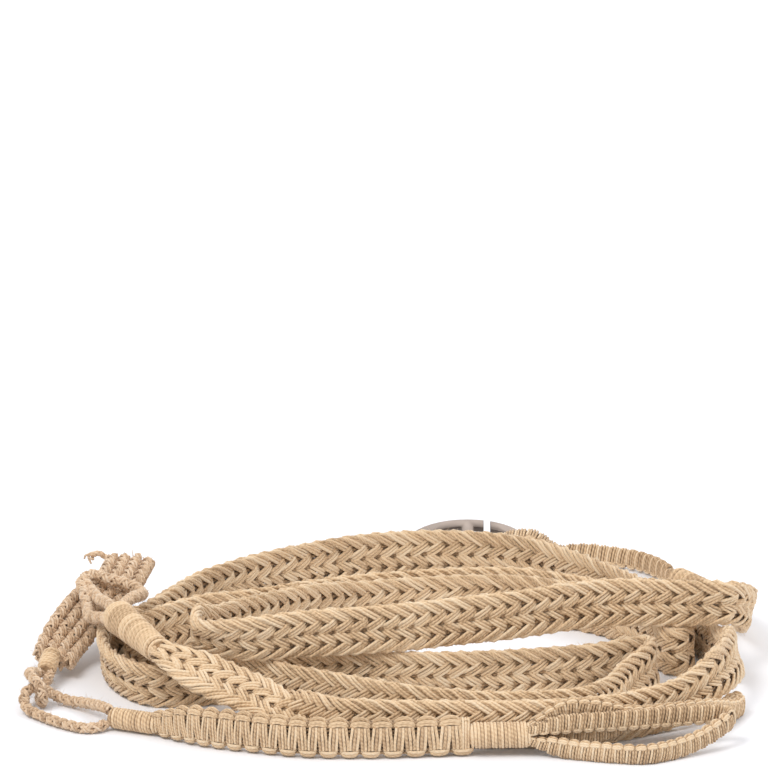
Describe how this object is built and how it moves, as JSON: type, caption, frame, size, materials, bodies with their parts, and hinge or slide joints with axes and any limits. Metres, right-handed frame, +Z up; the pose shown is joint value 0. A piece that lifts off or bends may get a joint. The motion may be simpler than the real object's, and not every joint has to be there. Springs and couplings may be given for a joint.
{
  "type": "woven rope belt",
  "caption": "Flat herringbone rope belt lying loosely coiled, with knotted macrame ends, cord loops and a plain metal hook ring.",
  "frame": {"origin": "middle of the underside, on the surface that the belt lies on", "axes": "+X along the coil, +Y away from the front bar, +Z up"},
  "size_m": [0.2944, 0.2774, 0.0407],
  "materials": {
    "flat_braid": "matt twisted yarn",
    "knotted_cord": "matt twisted yarn",
    "braided_cord": "matt twisted yarn",
    "chain_knots": "matt yarn, fuzzy",
    "wrap_thread": "fine thread, slight sheen",
    "pewter": "satin, warm grey"
  },
  "bodies": {
    "root": {"braid_right_riser": "flat_braid", "braid_raised_front": "flat_braid", "braid_left_turn": "flat_braid", "braid_inner_back": "flat_braid", "braid_inner_turn": "flat_braid", "braid_second_back": "flat_braid", "braid_hidden_turn": "flat_braid", "braid_fourth_front": "flat_braid", "braid_tight_turn": "flat_braid", "braid_left_front": "flat_braid", "braid_outer_left_turn": "flat_braid", "braid_outer_back": "flat_braid", "braid_outer_right_turn": "flat_braid", "braid_front_run": "flat_braid", "braid_diagonal": "flat_braid", "front_knotted_bar": "knotted_cord", "knotted_loop_outer": "knotted_cord", "knotted_loop_inner": "knotted_cord", "back_knotted_strip": "knotted_cord", "front_cord_loop": "braided_cord", "small_cord_loop": "braided_cord", "collar_loop": "braided_cord", "tail_strap": "chain_knots", "tail_thread_stub": "chain_knots", "wrap_bar_left": "wrap_thread", "wrap_bar_right": "wrap_thread", "wrap_tail": "wrap_thread", "wrap_back": "wrap_thread", "wrap_diagonal": "wrap_thread", "hook_ring": "pewter"}
  },
  "joints": []
}
